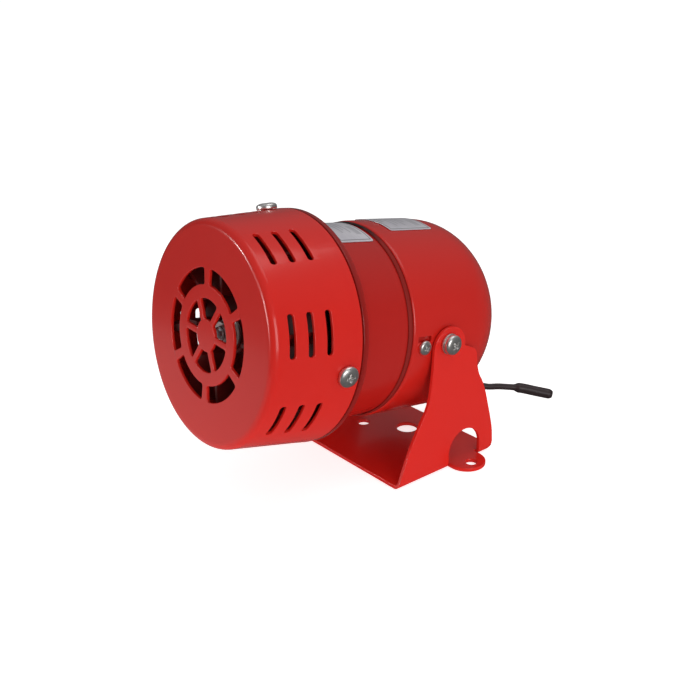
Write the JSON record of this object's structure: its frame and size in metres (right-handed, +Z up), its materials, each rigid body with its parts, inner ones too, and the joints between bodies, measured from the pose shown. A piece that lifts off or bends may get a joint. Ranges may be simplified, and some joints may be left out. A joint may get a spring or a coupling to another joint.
{
  "type": "motor siren on tilting bracket",
  "caption": "Small red electric motor siren: slotted horn cup, motor barrel and domed rear cover, tilting in a U-shaped steel bracket with bolt-down tabs.",
  "frame": {"origin": "underside of the bracket's base plate, on the centre plane between the arms, straight under the tilt pivot", "axes": "+X along the tilt pivot towards the right arm, -Y the way the siren's mouth points, +Z up"},
  "size_m": [0.0956, 0.161, 0.1028],
  "materials": {
    "red_paint_bracket": "gloss red paint on folded steel sheet",
    "red_paint_cover": "gloss red paint on deep-drawn steel",
    "red_paint_barrel": "gloss red paint on rolled steel",
    "impeller_paint": "satin red paint on cast aluminium",
    "zinc": "zinc plated, lightly worn",
    "motor_steel": "machined mild steel",
    "laminated_steel": "stacked laminations, varnished",
    "copper": "enamelled copper wire",
    "commutator_copper": "turned copper segments",
    "bronze": "sintered bronze",
    "carbon": "pressed carbon",
    "phenolic": "phenolic moulding",
    "black_rubber": "soft black rubber",
    "cable_sheath": "black PVC cable sheath",
    "foil_label": "silver polyester label, blank",
    "spring_steel": "spring wire"
  },
  "bodies": {
    "bracket": {"base_bracket": "red_paint_bracket"},
    "siren": {"brush_cap_left": "bronze", "brush_cap_right": "bronze", "brush_holder_left": "phenolic", "brush_holder_right": "phenolic", "brush_spring_left": "spring_steel", "brush_spring_right": "spring_steel", "cable_grommet": "black_rubber", "cover_screw_1": "zinc", "cover_screw_2": "zinc", "cover_screw_3": "zinc", "field_coil_lower": "copper", "field_coil_upper": "copper", "front_bush": "bronze", "front_cover": "red_paint_cover", "front_label": "foil_label", "mid_housing": "red_paint_barrel", "motor_front_bell": "motor_steel", "motor_rear_bell": "motor_steel", "motor_yoke": "motor_steel", "pivot_lock_washer_left": "zinc", "pivot_lock_washer_right": "zinc", "pivot_screw_left": "zinc", "pivot_screw_right": "zinc", "pivot_weld_nut_left": "motor_steel", "pivot_weld_nut_right": "motor_steel", "pole_shoe_lower": "laminated_steel", "pole_shoe_upper": "laminated_steel", "power_cable": "cable_sheath", "rear_bush": "bronze", "rear_cover": "red_paint_cover", "rear_label": "foil_label", "seam_gasket": "black_rubber", "side_screw_left": "zinc", "side_screw_right": "zinc", "through_bolt_1": "zinc", "through_bolt_2": "zinc", "through_bolt_nut_1": "zinc", "through_bolt_nut_2": "zinc"},
    "rotor": {"rotor_shaft": "motor_steel", "impeller_nut": "zinc", "impeller_washer": "zinc", "impeller": "impeller_paint", "armature_core": "laminated_steel", "armature_winding": "copper", "commutator": "commutator_copper"},
    "brush_right": {"carbon_brush_right": "carbon"},
    "brush_left": {"carbon_brush_left": "carbon"}
  },
  "joints": [
    {"name": "siren_tilt", "type": "hinge", "parent": "bracket", "child": "siren", "pos_m": [0, 0, 0.0523], "axis": [1, 0, 0], "range_deg": [-30, 18], "deforming": ["power_cable"]},
    {"name": "rotor_spin", "type": "hinge", "parent": "siren", "child": "rotor", "pos_m": [0, 0, 0.0523], "axis": [0, 0.989, -0.1478], "continuous": true},
    {"name": "brush_right_lift", "type": "slide", "parent": "siren", "child": "brush_right", "axis": [1, 0, 0], "range_m": [0, 0.0035], "deforming": ["brush_spring_right"]},
    {"name": "brush_left_lift", "type": "slide", "parent": "siren", "child": "brush_left", "axis": [-1, 0, 0], "range_m": [0, 0.0035], "deforming": ["brush_spring_left"]}
  ]
}
